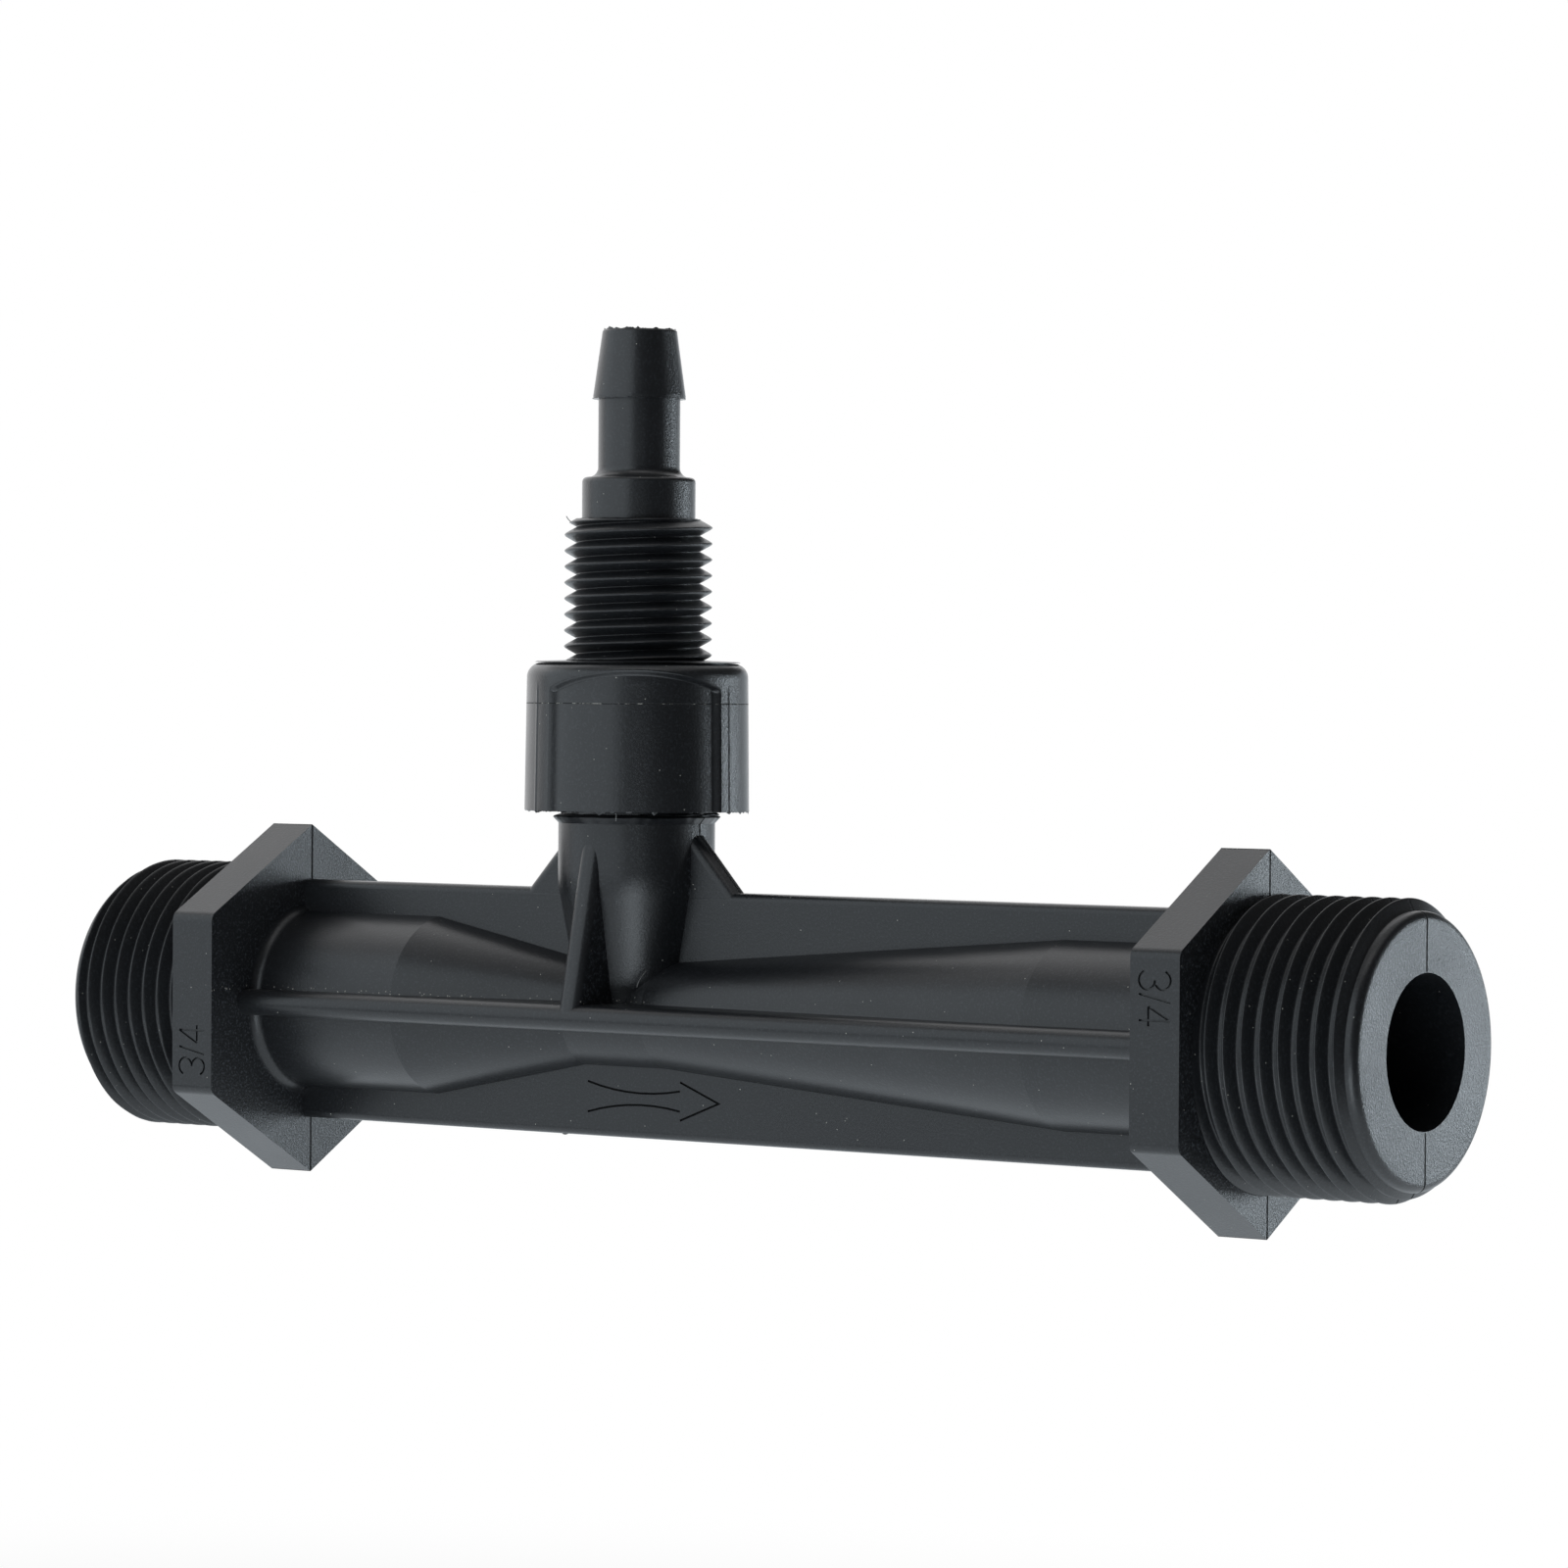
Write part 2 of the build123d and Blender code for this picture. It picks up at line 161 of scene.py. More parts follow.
world = bpy.data.worlds.new("studio")
bpy.context.scene.world = world
world.use_nodes = True
world_tree = world.node_tree
light_path = add_node(world_tree, "ShaderNodeLightPath")
room_level = 0.07              # how bright the white room is for everything but the camera
white_seen = calc(
    world_tree, "MULTIPLY_ADD", light_path.outputs["Is Camera Ray"], 1.0 - room_level, room_level,
)
world_tree.links.new(white_seen, world_tree.nodes["Background"].inputs["Strength"])
world_tree.nodes["Background"].inputs["Color"].default_value = (1, 1, 1, 1)

floor_half = 3.0
paper_grey = 0.26              # the camera sees the paper glow white, and the part sees this grey
shade_start = 0.08             # the glow is weaker under the part, and full from shade_end outwards
shade_end = 0.34
shade_level = 0.70
floor_mesh = bpy.data.meshes.new("floor")
floor_mesh.from_pydata(
    [(x * floor_half, y * floor_half, floor_height) for x, y in ((-1, -1), (1, -1), (1, 1), (-1, 1))],
    [], [(0, 1, 2, 3)],
)
floor = bpy.data.objects.new("floor", floor_mesh)
bpy.context.scene.collection.objects.link(floor)
floor_paint = bpy.data.materials.new("white paper floor")
floor_paint.use_nodes = True
floor_tree = floor_paint.node_tree
floor_shader = floor_tree.nodes["Principled BSDF"]
floor_shader.inputs["Base Color"].default_value = (paper_grey, paper_grey, paper_grey, 1)
floor_shader.inputs["Roughness"].default_value = 0.9
floor_shader.inputs["Specular IOR Level"].default_value = 0.0
paper_glow = add_node(floor_tree, "ShaderNodeEmission")
floor_ray = add_node(floor_tree, "ShaderNodeLightPath")
floor_place = add_node(floor_tree, "ShaderNodeTexCoord")
floor_reach = add_node(floor_tree, "ShaderNodeVectorMath", {"operation": "LENGTH"}, {
    0: add_node(floor_tree, "ShaderNodeMapping", {"vector_type": "POINT"}, {
        "Vector": floor_place.outputs["Object"], "Scale": (1.0, 1.0, 0.0),
    }).outputs[0],
})
glow_near = add_node(floor_tree, "ShaderNodeMapRange", {"interpolation_type": "SMOOTHSTEP"}, {
    "Value": floor_reach.outputs["Value"], "From Min": shade_start, "From Max": shade_end,
    "To Min": shade_level, "To Max": 1.0,
}).outputs[0]
glow_share = calc(floor_tree, "MULTIPLY", floor_ray.outputs["Is Camera Ray"], glow_near)
floor_mix = add_node(floor_tree, "ShaderNodeMixShader", None, {
    0: glow_share, 1: floor_shader.outputs[0], 2: paper_glow.outputs[0],
})
floor_tree.links.new(floor_mix.outputs[0], floor_tree.nodes["Material Output"].inputs["Surface"])
floor_mesh.materials.append(floor_paint)


# The injector body. One black polypropylene moulding: its mould halves part along the vertical
# plane through both ends, and the threads, hex flanges and ribs come out of the mould with it.
body_low, body_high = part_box("injector_body")
seam_half = 0.085 * mm         # half the width of the line that the mould halves leave
seam_edge = 0.05 * mm          # and how softly the line ends
bore_clear = 6.95 * mm         # the line stops at the bores, inside this radius
mark_face = -1.2 * mm          # the lower fin's front, which carries the flow mark
mark_middle = (63.8 * mm, -7.95 * mm)
mark_half = (8.2 * mm, 2.2 * mm)
groove_depths = (0.02 * mm, 0.07 * mm)
crumb_middle = 43.0 * mm       # torn crumbs lie along the top of the side rib
crumb_half = 23.0 * mm
crumb_lows = (1.20 * mm, 1.30 * mm)
crumb_highs = (1.50 * mm, 1.75 * mm)
square_on = (0.95, 0.99)       # how squarely a face looks along the flow to count as an end face
skin_tones = ((0.0052, 0.0058, 0.0068, 1), (0.0092, 0.0100, 0.0115, 1))
# The end faces' lighter bluish specks are painted glints: colour that stands in for the sheen the lamps
# give their eroded grain.
painted_glint_tone = (0.060, 0.066, 0.074, 1)
skin_glint_share = 0.20            # of the end faces' sparkle, on all other faces
dust_tone = (0.30, 0.29, 0.26, 1)
flow_dulling = 0.12            # roughness that the flow of the plastic adds in its clouds
dust_dulling = 0.4
end_dulling = 0.08
skin_relief = 0.34
end_relief = 0.60              # what the end faces add to it
seam_relief = -4.0             # the mould line is a sharp nick beside the fine grain
relief_height = 0.05 * mm


def soft_rise(tree, value, low, high):
    """A share from 0 at low to 1 at high, with soft ends."""
    return add_node(tree, "ShaderNodeMapRange", {"interpolation_type": "SMOOTHSTEP"}, {
        "Value": value, "From Min": low, "From Max": high,
    }).outputs[0]


def soft_fall(tree, value, low, high):
    """A share from 1 at low to 0 at high, with soft ends."""
    return calc(tree, "SUBTRACT", 1.0, soft_rise(tree, value, low, high))


def product(tree, *values):
    """The product of values or sockets."""
    result = values[0]
    for value in values[1:]:
        result = calc(tree, "MULTIPLY", result, value)
    return result


def clouds(tree, spot, scale, detail, roughness):
    """A cloudy pattern from 0 to 1."""
    return add_node(tree, "ShaderNodeTexNoise", None, {
        "Vector": spot, "Scale": scale, "Detail": detail, "Roughness": roughness,
    }).outputs[0]


def blend_colours(tree, share, first, second):
    """A mix of two colours, given as values or sockets."""
    return add_node(tree, "ShaderNodeMix", {"data_type": "RGBA"}, {
        "Factor": share, "A": first, "B": second,
    }).outputs["Result"]


def dust(tree, spot, cell, radius, share):
    """Specks of dust: the cores of scattered cells, of which only a share is kept."""
    cells = add_node(tree, "ShaderNodeTexVoronoi", None, {"Vector": spot, "Scale": 1.0 / cell})
    core = calc(tree, "LESS_THAN", cells.outputs["Distance"], radius / cell)
    lot = add_node(tree, "ShaderNodeSeparateColor", None, {0: cells.outputs["Color"]}).outputs[0]
    return product(tree, core, calc(tree, "LESS_THAN", lot, share))


def body_marks(tree, spot):
    """Shares: where the mould line and the flow mark's grooves are, and the crumbs on the rib."""
    x, y, z = add_node(tree, "ShaderNodeSeparateXYZ", None, {0: spot}).outputs
    from_axis = calc(tree, "SQRT", calc(tree, "MULTIPLY_ADD", y, y, calc(tree, "MULTIPLY", z, z)))
    line = product(
        tree, soft_fall(tree, calc(tree, "ABSOLUTE", y), seam_half, seam_half + seam_edge),
        calc(tree, "GREATER_THAN", from_axis, bore_clear),
    )
    # The flow mark's grooves share the mould line's dark colour: painted shade inside the grooves.
    grooves = product(
        tree, soft_rise(tree, y, *(mark_face + depth for depth in groove_depths)),
        calc(tree, "LESS_THAN", y, 0.0),
        calc(tree, "COMPARE", x, mark_middle[0], mark_half[0]),
        calc(tree, "COMPARE", z, mark_middle[1], mark_half[1]),
    )
    crumbs = product(
        tree, dust(tree, spot, 0.30 * mm, 0.075 * mm, 0.45),
        soft_rise(tree, z, *crumb_lows), soft_fall(tree, z, *crumb_highs),
        calc(tree, "COMPARE", x, crumb_middle, crumb_half),
    )
    return calc(tree, "MAXIMUM", line, grooves), crumbs


def black_moulding(name, roughness, marks, line_shade_tone, dust_share, gloss_level=0.5):
    """Black moulded plastic: a satin skin, eroded end faces with painted glints in their grain, a mould
    line and grooves painted dark as their shade, and dust.

    marks(tree, spot) gives where the mould line is and where torn crumbs lie, as two shares.
    """
    material = bpy.data.materials.new(name)
    material.use_nodes = True
    tree = material.node_tree
    shader = tree.nodes["Principled BSDF"]
    shader.inputs["Specular IOR Level"].default_value = gloss_level
    place = add_node(tree, "ShaderNodeTexCoord")
    spot = place.outputs["Object"]
    facing = add_node(tree, "ShaderNodeSeparateXYZ", None, {0: place.outputs["Normal"]})
    end_face = soft_rise(tree, calc(tree, "ABSOLUTE", facing.outputs["X"]), *square_on)
    flow = clouds(tree, spot, 90.0, 3.0, 0.55)
    fine = clouds(tree, spot, 4200.0, 2.0, 0.6)
    # Painted glints: light bluish specks in the colour, full on the end faces and weaker elsewhere. The
    # grain's relief below is the surface's own.
    glint_specks = soft_rise(tree, fine, 0.50, 0.72)
    sparkle = product(tree, glint_specks, calc(tree, "MAXIMUM", end_face, skin_glint_share))
    skin = blend_colours(tree, sparkle, blend_colours(tree, flow, *skin_tones), painted_glint_tone)
    line, crumbs = marks(tree, spot)
    specks = calc(tree, "MAXIMUM", crumbs, dust(tree, spot, 1.10 * mm, 0.055 * mm, dust_share))
    # The mould line and the grooves get a near-black colour: painted shade of the nick and the grooves.
    # Their added roughness and relief are the surface's own.
    dusty = blend_colours(tree, specks, blend_colours(tree, line, skin, line_shade_tone), dust_tone)
    tree.links.new(dusty, shader.inputs["Base Color"])
    dull = calc(tree, "MULTIPLY_ADD", specks, dust_dulling, calc(tree, "MULTIPLY", end_face, end_dulling))
    dull = calc(tree, "ADD", line, dull)
    rough = calc(tree, "ADD", calc(tree, "MULTIPLY_ADD", flow, flow_dulling, roughness), dull)
    tree.links.new(rough, shader.inputs["Roughness"])
    bump = add_node(tree, "ShaderNodeBump", None, {
        "Strength": calc(tree, "MULTIPLY_ADD", end_face, end_relief, skin_relief),
        "Distance": relief_height, "Height": calc(tree, "MULTIPLY_ADD", line, seam_relief, fine),
    })
    tree.links.new(bump.outputs[0], shader.inputs["Normal"])
    return material


# Near black: painted shade of the mould line's nick and of the flow mark's grooves.
body_line_shade = (0.0015, 0.0015, 0.0017, 1)
body_plastic = black_moulding("black polypropylene, body", 0.27, body_marks, body_line_shade, 0.5)
thread_plastic = black_moulding("black polypropylene, threads", 0.30, body_marks, body_line_shade, 0.9)

pipe_pitch = 1.814 * mm
pipe_crest_radius = 13.22 * mm
pipe_root_radius = 12.06 * mm
pipe_core_radius = 11.5 * mm   # the threads are closed inside at this radius
pipe_flank = math.radians(27.5)
shank_radius = 11.95 * mm      # the moulding's own thread rings are turned down to this
end_length = 15.7 * mm         # from a flange's face to the end face
lead_in_start = 14.03 * mm     # from a flange's face to where the lead-in cone starts
lead_in_length = 0.65 * mm
thread_zone = lead_in_start + lead_in_length
thread_in_flange = 0.4 * mm    # a thread reaches this far into its flange
thread_in_nose = 0.1 * mm      # and this far into the nose
nose_radius = 12.15 * mm
nose_rounding = 0.85 * mm
face_cut = 10.6 * mm           # inside this radius the end face is the moulding's own
tube_radius = 8.65 * mm
root_fillet = 1.0 * mm         # where the tube meets a hex flange
fillet_lap = 0.3 * mm          # the fillet reaches this far into the tube and the flange
flange_thickness = 5.0 * mm
inlet_flange_x = end_length
outlet_flange_x = body_high.x - end_length
inlet_crest_x = 8.55 * mm      # a crest of each thread, on the side that faces the camera
outlet_crest_x = 144.49 * mm
boss_radius = 7.4 * mm
boss_shank_radius = 7.0 * mm
boss_thread_start = 18.1 * mm
boss_top = body_high.z
taper_start = 12.3 * mm        # below this height the boss widens
taper_angle = math.radians(10.5)
taper_easing = 1.2 * mm        # above and below the start of the taper
row_reach = boss_radius + 0.1 * mm
weld_distance = 0.002 * mm
hair_gap = 0.01 * mm
lap = 0.05 * mm                # how far a moulding and the piece on it run into each other


def cut_ring(shape, height, radius):
    """Adds a row of points at a height to the faces within a radius of the suction axis."""
    near = [
        f for f in shape.faces
        if all(math.hypot(v.co.x - suction_x, v.co.y) < radius for v in f.verts)
    ]
    parts = {*near, *(e for f in near for e in f.edges), *(v for f in near for v in f.verts)}
    bmesh.ops.bisect_plane(
        shape, geom=list(parts), dist=0.0001 * mm, plane_co=(0, 0, height), plane_no=(0, 0, 1),
    )


def turned_down(node, name, zones, material, rings=(), eased=None):
    """A merged copy of a CAD piece, with each threaded zone turned down to a plain shank.

    A zone is the axis letter, the axis's two other coordinates, both ends and the shank's radius.
    eased(place, normal) may turn normals, and rings are the heights of extra rows of points.
    """
    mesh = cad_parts[node].data.copy()
    parts = [part for corner in mesh.corner_normals for part in corner.vector]
    mesh.attributes.new("true_normal", "FLOAT_VECTOR", "CORNER").data.foreach_set("vector", parts)
    shape = bmesh.new()
    shape.from_mesh(mesh)
    bmesh.ops.remove_doubles(shape, verts=shape.verts, dist=weld_distance)
    for height in rings:
        cut_ring(shape, height, row_reach)
    for axis, centre, low, high, radius in zones:
        along = "xyz".index(axis)
        across = [i for i in range(3) if i != along]
        for vertex in shape.verts:
            offset = [vertex.co[i] - c for i, c in zip(across, centre)]
            distance = math.hypot(*offset)
            if low < vertex.co[along] < high and distance > radius:
                for i, c, part in zip(across, centre, offset):
                    vertex.co[i] = c + part * radius / distance
    shape.to_mesh(mesh)
    shape.free()
    facings = [Vector(corner.vector).normalized() for corner in mesh.attributes["true_normal"].data]
    if eased:
        places = [mesh.vertices[loop.vertex_index].co for loop in mesh.loops]
        facings = [eased(place, facing) for place, facing in zip(places, facings)]
    mesh.normals_split_custom_set(facings)
    mesh.attributes.remove(mesh.attributes["true_normal"])
    mesh.materials.clear()
    mesh.materials.append(material)
    piece = bpy.data.objects.new(name, mesh)
    bpy.context.scene.collection.objects.link(piece)
    return piece


def plain_mesh(piece):
    """Turns an object's modifiers into a plain mesh and removes them."""
    view = bpy.context.evaluated_depsgraph_get()
    result = bpy.data.meshes.new_from_object(piece.evaluated_get(view))
    piece.modifiers.clear()
    piece.data = result
    return piece


def new_tree(name, inputs):
    """An empty Geometry Nodes tree, its named inputs by kind, and their sockets."""
    tree = bpy.data.node_groups.new(name, "GeometryNodeTree")
    tree.interface.new_socket("Geometry", in_out="OUTPUT", socket_type="NodeSocketGeometry")
    for kind, names in inputs.items():
        for given_name in names:
            tree.interface.new_socket(given_name, in_out="INPUT", socket_type="NodeSocket" + kind)
    return tree, add_node(tree, "NodeGroupInput").outputs


def finish_tree(tree, geometry, material):
    """Ends a tree with a real mesh that has its material."""
    solid = add_node(tree, "GeometryNodeRealizeInstances", None, {0: geometry})
    painted = add_node(tree, "GeometryNodeSetMaterial", None, {
        "Geometry": solid.outputs[0], "Material": material,
    })
    out = add_node(tree, "NodeGroupOutput")
    tree.links.new(painted.outputs[0], out.inputs[0])
    return tree


root_rounding = 0.12 * mm
bruise_length = 3.0 * mm       # along a crest, from one bruise to the next
bruises_round = 16.0           # and how many of them stand round it
seed_step = 7.3


def thread_tree():
    """Geometry Nodes for a helical thread: a grid rolled round an axis, one row per profile point.

    The grid's rows follow the helix, so crests and roots stay crisp. An inner wall closes it.
    """
    tree, given = new_tree("helical thread", {
        "Float": ("Pitch", "Crest At", "Low", "High", "Crest Radius", "Root Radius", "Inner Radius",
                  "Crest Rounding", "Flank Slope", "Cone Start", "Cone Slope", "Nick"),
        "Int": ("Turns", "Points Per Turn", "Around", "Seed"),
        "Material": ("Material",),
    })

    def maths(operation, *values):
        """The result of one Math node of this tree."""
        return calc(tree, operation, *values)

    columns = maths("ADD", given["Around"], 1.0)
    rows = maths("MULTIPLY_ADD", given["Turns"], given["Points Per Turn"], 1.0)
    index = add_node(tree, "GeometryNodeInputIndex").outputs[0]
    row = maths("FLOOR", maths("DIVIDE", maths("ADD", index, 0.5), columns))
    column = maths("SUBTRACT", index, maths("MULTIPLY", row, columns))
    turn = maths("DIVIDE", column, given["Around"])

    def rolled(row_count, along, radius):
        """A grid rolled round the axis, its points at a place along it and at a radius."""
        grid = add_node(tree, "GeometryNodeMeshGrid", None, {
            "Vertices X": row_count, "Vertices Y": columns,
        })
        angle = maths("MULTIPLY", turn, math.tau)
        spot = add_node(tree, "ShaderNodeCombineXYZ", None, {
            "X": along,
            "Y": maths("MULTIPLY", radius, maths("COSINE", angle)),
            "Z": maths("MULTIPLY", radius, maths("SINE", angle)),
        })
        return add_node(tree, "GeometryNodeSetPosition", None, {
            "Geometry": grid.outputs["Mesh"], "Position": spot.outputs[0],
        }).outputs[0]

    def helix():
        """The places of the helix's points along the axis, and how far each is from its crest."""
        step = maths("DIVIDE", given["Pitch"], given["Points Per Turn"])
        back = product(tree, given["Turns"], given["Pitch"], -0.5)
        section = maths("MULTIPLY_ADD", row, step, back)
        crest_count = maths("ROUND", maths("DIVIDE", section, given["Pitch"]))
        from_crest = maths("SUBTRACT", section, maths("MULTIPLY", given["Pitch"], crest_count))
        climbed = maths("MULTIPLY_ADD", turn, given["Pitch"], section)
        return maths("ADD", climbed, given["Crest At"]), from_crest

    def bruised(place):
        """The crest's radius, less the bruises that dent it here and there."""
        spot = add_node(tree, "ShaderNodeCombineXYZ", None, {
            "X": maths("MULTIPLY", place, 1.0 / bruise_length),
            "Y": maths("MULTIPLY", turn, bruises_round),
            "Z": maths("MULTIPLY", given["Seed"], seed_step),
        })
        bruise = soft_rise(tree, clouds(tree, spot.outputs[0], 1.0, 2.0, 0.6), 0.66, 0.74)
        return maths("SUBTRACT", given["Crest Radius"], maths("MULTIPLY", bruise, given["Nick"]))

    def section_radius(place, from_crest):
        """The thread's radius: flanks between a rounded crest and root, cut by the lead-in cone."""
        rounding = given["Crest Rounding"]
        squared = maths("MULTIPLY_ADD", from_crest, from_crest, maths("MULTIPLY", rounding, rounding))
        fall = maths("SUBTRACT", maths("SQRT", squared), rounding)
        flank = maths("SUBTRACT", given["Crest Radius"], maths("DIVIDE", fall, given["Flank Slope"]))
        profile = maths("SMOOTH_MAX", flank, given["Root Radius"], root_rounding)
        profile = maths("MINIMUM", profile, bruised(place))
        up_cone = maths("MULTIPLY", maths("SUBTRACT", place, given["Cone Start"]), given["Cone Slope"])
        profile = maths("MINIMUM", profile, maths("SUBTRACT", given["Crest Radius"], up_cone))
        below = maths("LESS_THAN", place, given["Low"])
        outside = maths("MAXIMUM", below, maths("GREATER_THAN", place, given["High"]))
        inwards = maths("SUBTRACT", given["Inner Radius"], profile)
        radius = maths("MULTIPLY_ADD", outside, inwards, profile)
        return maths("MAXIMUM", radius, given["Inner Radius"])

    place, from_crest = helix()
    within = maths("MINIMUM", maths("MAXIMUM", place, given["Low"]), given["High"])
    skin = rolled(rows, within, section_radius(place, from_crest))
    length = maths("SUBTRACT", given["High"], given["Low"])
    wall = rolled(2, maths("MULTIPLY_ADD", row, length, given["Low"]), given["Inner Radius"])
    inner = add_node(tree, "GeometryNodeFlipFaces", None, {0: wall}).outputs[0]
    joined = add_node(tree, "GeometryNodeJoinGeometry")
    tree.links.new(skin, joined.inputs[0])
    tree.links.new(inner, joined.inputs[0])
    merged = add_node(tree, "GeometryNodeMergeByDistance", None, {
        "Geometry": joined.outputs[0], "Distance": 0.003 * mm,
    })
    smooth = add_node(tree, "GeometryNodeSetShadeSmooth", None, {"Geometry": merged.outputs[0]})
    return finish_tree(tree, smooth.outputs[0], given["Material"])


helical_thread = thread_tree()


def made_by(tree, name, values):
    """A plain mesh object made by a Geometry Nodes tree, with its inputs set by name."""
    piece = bpy.data.objects.new(name, bpy.data.meshes.new(name))
    bpy.context.scene.collection.objects.link(piece)
    modifier = piece.modifiers.new(tree.name, "NODES")
    modifier.node_group = tree
    for item in tree.interface.items_tree:
        if item.in_out == "INPUT" and item.name in values:
            modifier[item.identifier] = values[item.name]
    return plain_mesh(piece)


def placed(piece, matrix):
    """Moves a piece by changing its mesh, so that its object stays at the origin."""
    piece.data.transform(matrix)
    piece.data.update()
    return piece


def even_turn(steps):
    """The angles of a full turn in even steps."""
    return [math.tau * i / steps for i in range(steps)]


def turned(name, profile_at, material, matrix=None, angles=even_turn(192)):
    """A closed form turned round the X axis. profile_at(angle) gives its (along, radius) points."""
    shape = bmesh.new()
    rings = []
    for angle in angles:
        rings.append([
            shape.verts.new((along, radius * math.cos(angle), radius * math.sin(angle)))
            for along, radius in profile_at(angle)
        ])
    for ring, next_ring in zip(rings, rings[1:] + rings[:1]):
        for j in range(len(ring)):
            k = (j + 1) % len(ring)
            shape.faces.new((ring[j], ring[k], next_ring[k], next_ring[j])).smooth = True
    bmesh.ops.recalc_face_normals(shape, faces=shape.faces)
    mesh = bpy.data.meshes.new(name)
    shape.to_mesh(mesh)
    shape.free()
    mesh.set_sharp_from_angle(angle=math.radians(38))
    if matrix:
        mesh.transform(matrix)
    mesh.materials.append(material)
    piece = bpy.data.objects.new(name, mesh)
    bpy.context.scene.collection.objects.link(piece)
    return piece


def arc_points(centre, radius, first, last, count):
    """Points on an arc in the (along, radius) plane, angles in degrees."""
    angles = [math.radians(first + (last - first) * i / count) for i in range(count + 1)]
    return [(centre[0] + radius * math.cos(a), centre[1] + radius * math.sin(a)) for a in angles]


def pipe_end(side, flange_face, outward, front_crest, seed):
    """One threaded end: its thread, the plain nose with a rounded rim, and the tube's root fillet."""
    zone_end = flange_face + outward * thread_zone
    end_face = flange_face + outward * end_length
    low, high = sorted((flange_face - outward * thread_in_flange, zone_end + outward * thread_in_nose))
    crest = front_crest - pipe_pitch / 2
    crest += pipe_pitch * round(((low + high) / 2 - crest) / pipe_pitch)
    thread = made_by(helical_thread, side + "_pipe_thread", {
        "Pitch": pipe_pitch, "Crest At": crest, "Low": low, "High": high,
        "Crest Radius": pipe_crest_radius, "Root Radius": pipe_root_radius,
        "Inner Radius": pipe_core_radius, "Crest Rounding": 0.08 * mm,
        "Flank Slope": math.tan(pipe_flank), "Nick": 0.06 * mm, "Seed": seed,
        "Cone Start": flange_face + outward * lead_in_start,
        "Cone Slope": outward * (pipe_crest_radius - nose_radius) / lead_in_length,
        "Turns": 12, "Points Per Turn": 24, "Around": 160, "Material": thread_plastic,
    })
    rim_middle = (end_face - outward * nose_rounding, nose_radius - nose_rounding)
    rim = arc_points(rim_middle, nose_rounding, 90, 90 - 90 * outward, 8)
    nose_root = (zone_end, nose_radius + 2 * hair_gap)
    nose_profile = [(end_face, face_cut), (zone_end, face_cut), nose_root, *rim]
    nose = turned(side + "_nose", lambda angle: nose_profile, body_plastic)
    inner_face = flange_face - outward * flange_thickness
    fillet_middle = (inner_face - outward * root_fillet, tube_radius + root_fillet)
    under_tube = tube_radius - fillet_lap
    in_flange = inner_face + outward * fillet_lap
    first = 90 - 90 * outward
    hollow = arc_points(fillet_middle, root_fillet, first, first - 90 * outward, 12)
    hollow += [(fillet_middle[0], under_tube), (in_flange, under_tube), (in_flange, fillet_middle[1])]
    root = turned(side + "_root_fillet", lambda angle: hollow, body_plastic)
    return [thread, nose, root]


inlet_pieces = pipe_end("inlet", inlet_flange_x, -1, inlet_crest_x, 8)
outlet_pieces = pipe_end("outlet", outlet_flange_x, 1, outlet_crest_x, 9)


def eased_taper(place, facing):
    """Lets the boss's taper start softly: near its start the normals tilt little by little."""
    outward = Vector((place.x - suction_x, place.y, 0.0))
    level = (place.z - taper_start) / taper_easing
    if abs(level) > 1.01 or outward.length > boss_radius + lap:
        return facing
    if facing.dot(outward.normalized()) < 0.9:
        return facing
    tilt = taper_angle * (1 - min(max(level + 1, 0.0), 2.0) / 2)
    return outward.normalized() * math.cos(tilt) - Vector((0, 0, math.sin(tilt)))


inlet_zone_x = inlet_flange_x - thread_zone
outlet_zone_x = outlet_flange_x + thread_zone
pipe_axis = (0.0, 0.0)
suction_axis = (suction_x, 0.0)
taper_rows = [taper_start + taper_easing * share for share in (-1, -0.5, 0, 0.5, 1)]
body = turned_down("injector_body", "body_moulding", [
    ("x", pipe_axis, inlet_zone_x + hair_gap, inlet_flange_x - hair_gap, shank_radius),
    ("x", pipe_axis, outlet_flange_x + hair_gap, outlet_zone_x - hair_gap, shank_radius),
    ("x", pipe_axis, body_low.x - hair_gap, inlet_zone_x + 2 * hair_gap, face_cut),
    ("x", pipe_axis, outlet_zone_x - 2 * hair_gap, body_high.x + hair_gap, face_cut),
    ("z", suction_axis, boss_thread_start + lap, boss_top + hair_gap, boss_shank_radius),
], body_plastic, taper_rows, eased_taper)
for piece in (body, *inlet_pieces, *outlet_pieces):
    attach(piece, "body")
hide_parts("injector_body")


# The boss thread that the cap screws down on, in black polypropylene, moulded with the body. The
# cap hides it but for its first ring, which is thin and has a ragged rim.
boss_pitch = 1.5 * mm
boss_crest_radius = 7.9 * mm
boss_root_radius = 7.15 * mm
boss_flank = math.radians(30)
first_ring_height = 0.52 * mm  # from the thread's start up to the first ring's crest
upright = Matrix(((0, 1, 0, suction_x), (0, 0, 1, 0), (1, 0, 0, 0), (0, 0, 0, 1)))
boss_thread = placed(made_by(helical_thread, "boss_thread", {
    "Pitch": boss_pitch, "Crest At": boss_thread_start + 5.0 * mm,
    "Low": boss_thread_start + 0.7 * mm, "High": boss_top - 0.1 * mm,
    "Crest Radius": boss_crest_radius, "Root Radius": boss_root_radius, "Inner Radius": 6.6 * mm,
    "Crest Rounding": 0.10 * mm, "Flank Slope": math.tan(boss_flank), "Nick": 0.1 * mm, "Seed": 5,
    "Cone Start": boss_top - 1.0 * mm, "Cone Slope": 1.0,
    "Turns": 14, "Points Per Turn": 14, "Around": 96, "Material": thread_plastic,
}), upright)


